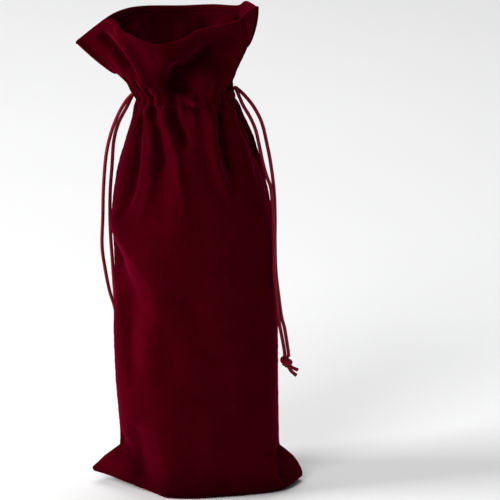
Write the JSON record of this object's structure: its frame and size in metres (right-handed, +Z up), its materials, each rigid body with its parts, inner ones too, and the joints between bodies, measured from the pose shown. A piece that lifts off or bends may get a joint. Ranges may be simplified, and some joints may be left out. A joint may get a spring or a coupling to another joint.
{
  "type": "wine gift bag",
  "caption": "Tall velvet drawstring gift bag for a wine bottle, gathered at the neck by satin cords tied at each side, with an open flared collar.",
  "frame": {"origin": "on the floor, under the middle of the standing bag's box", "axes": "+X along the bag's width to its right as seen from the front, -Y towards its front, +Z up out of the mouth"},
  "size_m": [0.148, 0.0781, 0.3292],
  "materials": {
    "velvet": "deep burgundy velvet pile, matt with a soft pink sheen on the folds",
    "velvet_inside": "the same velvet, turned in",
    "thread": "burgundy sewing thread, drawn into the pile",
    "satin_cord": "smooth round satin cord, soft gloss"
  },
  "bodies": {
    "bag": {"front_panel": "velvet", "back_panel": "velvet", "front_facing": "velvet_inside", "back_facing": "velvet_inside", "left_side_seam": "velvet_inside", "right_side_seam": "velvet_inside", "bottom_seam": "velvet_inside", "upper_channel_stitches": "thread", "lower_channel_stitches": "thread", "left_cord_loop": "satin_cord", "left_cord_front_strand": "satin_cord", "left_cord_back_strand": "satin_cord", "right_cord_loop": "satin_cord", "right_cord_front_strand": "satin_cord", "right_cord_back_strand": "satin_cord"},
    "left_pull": {"left_cord_knot": "satin_cord", "left_cord_front_tail": "satin_cord", "left_cord_back_tail": "satin_cord"},
    "right_pull": {"right_cord_knot": "satin_cord", "right_cord_front_tail": "satin_cord", "right_cord_back_tail": "satin_cord"}
  },
  "joints": [
    {"name": "left_drawstring_pull", "type": "slide", "parent": "bag", "child": "left_pull", "axis": [0, 0, -1], "range_m": [-0.065, 0.025], "deforming": ["left_cord_front_strand", "left_cord_back_strand"]},
    {"name": "right_drawstring_pull", "type": "slide", "parent": "bag", "child": "right_pull", "axis": [0, 0, -1], "range_m": [-0.065, 0.025], "deforming": ["right_cord_front_strand", "right_cord_back_strand"]}
  ]
}
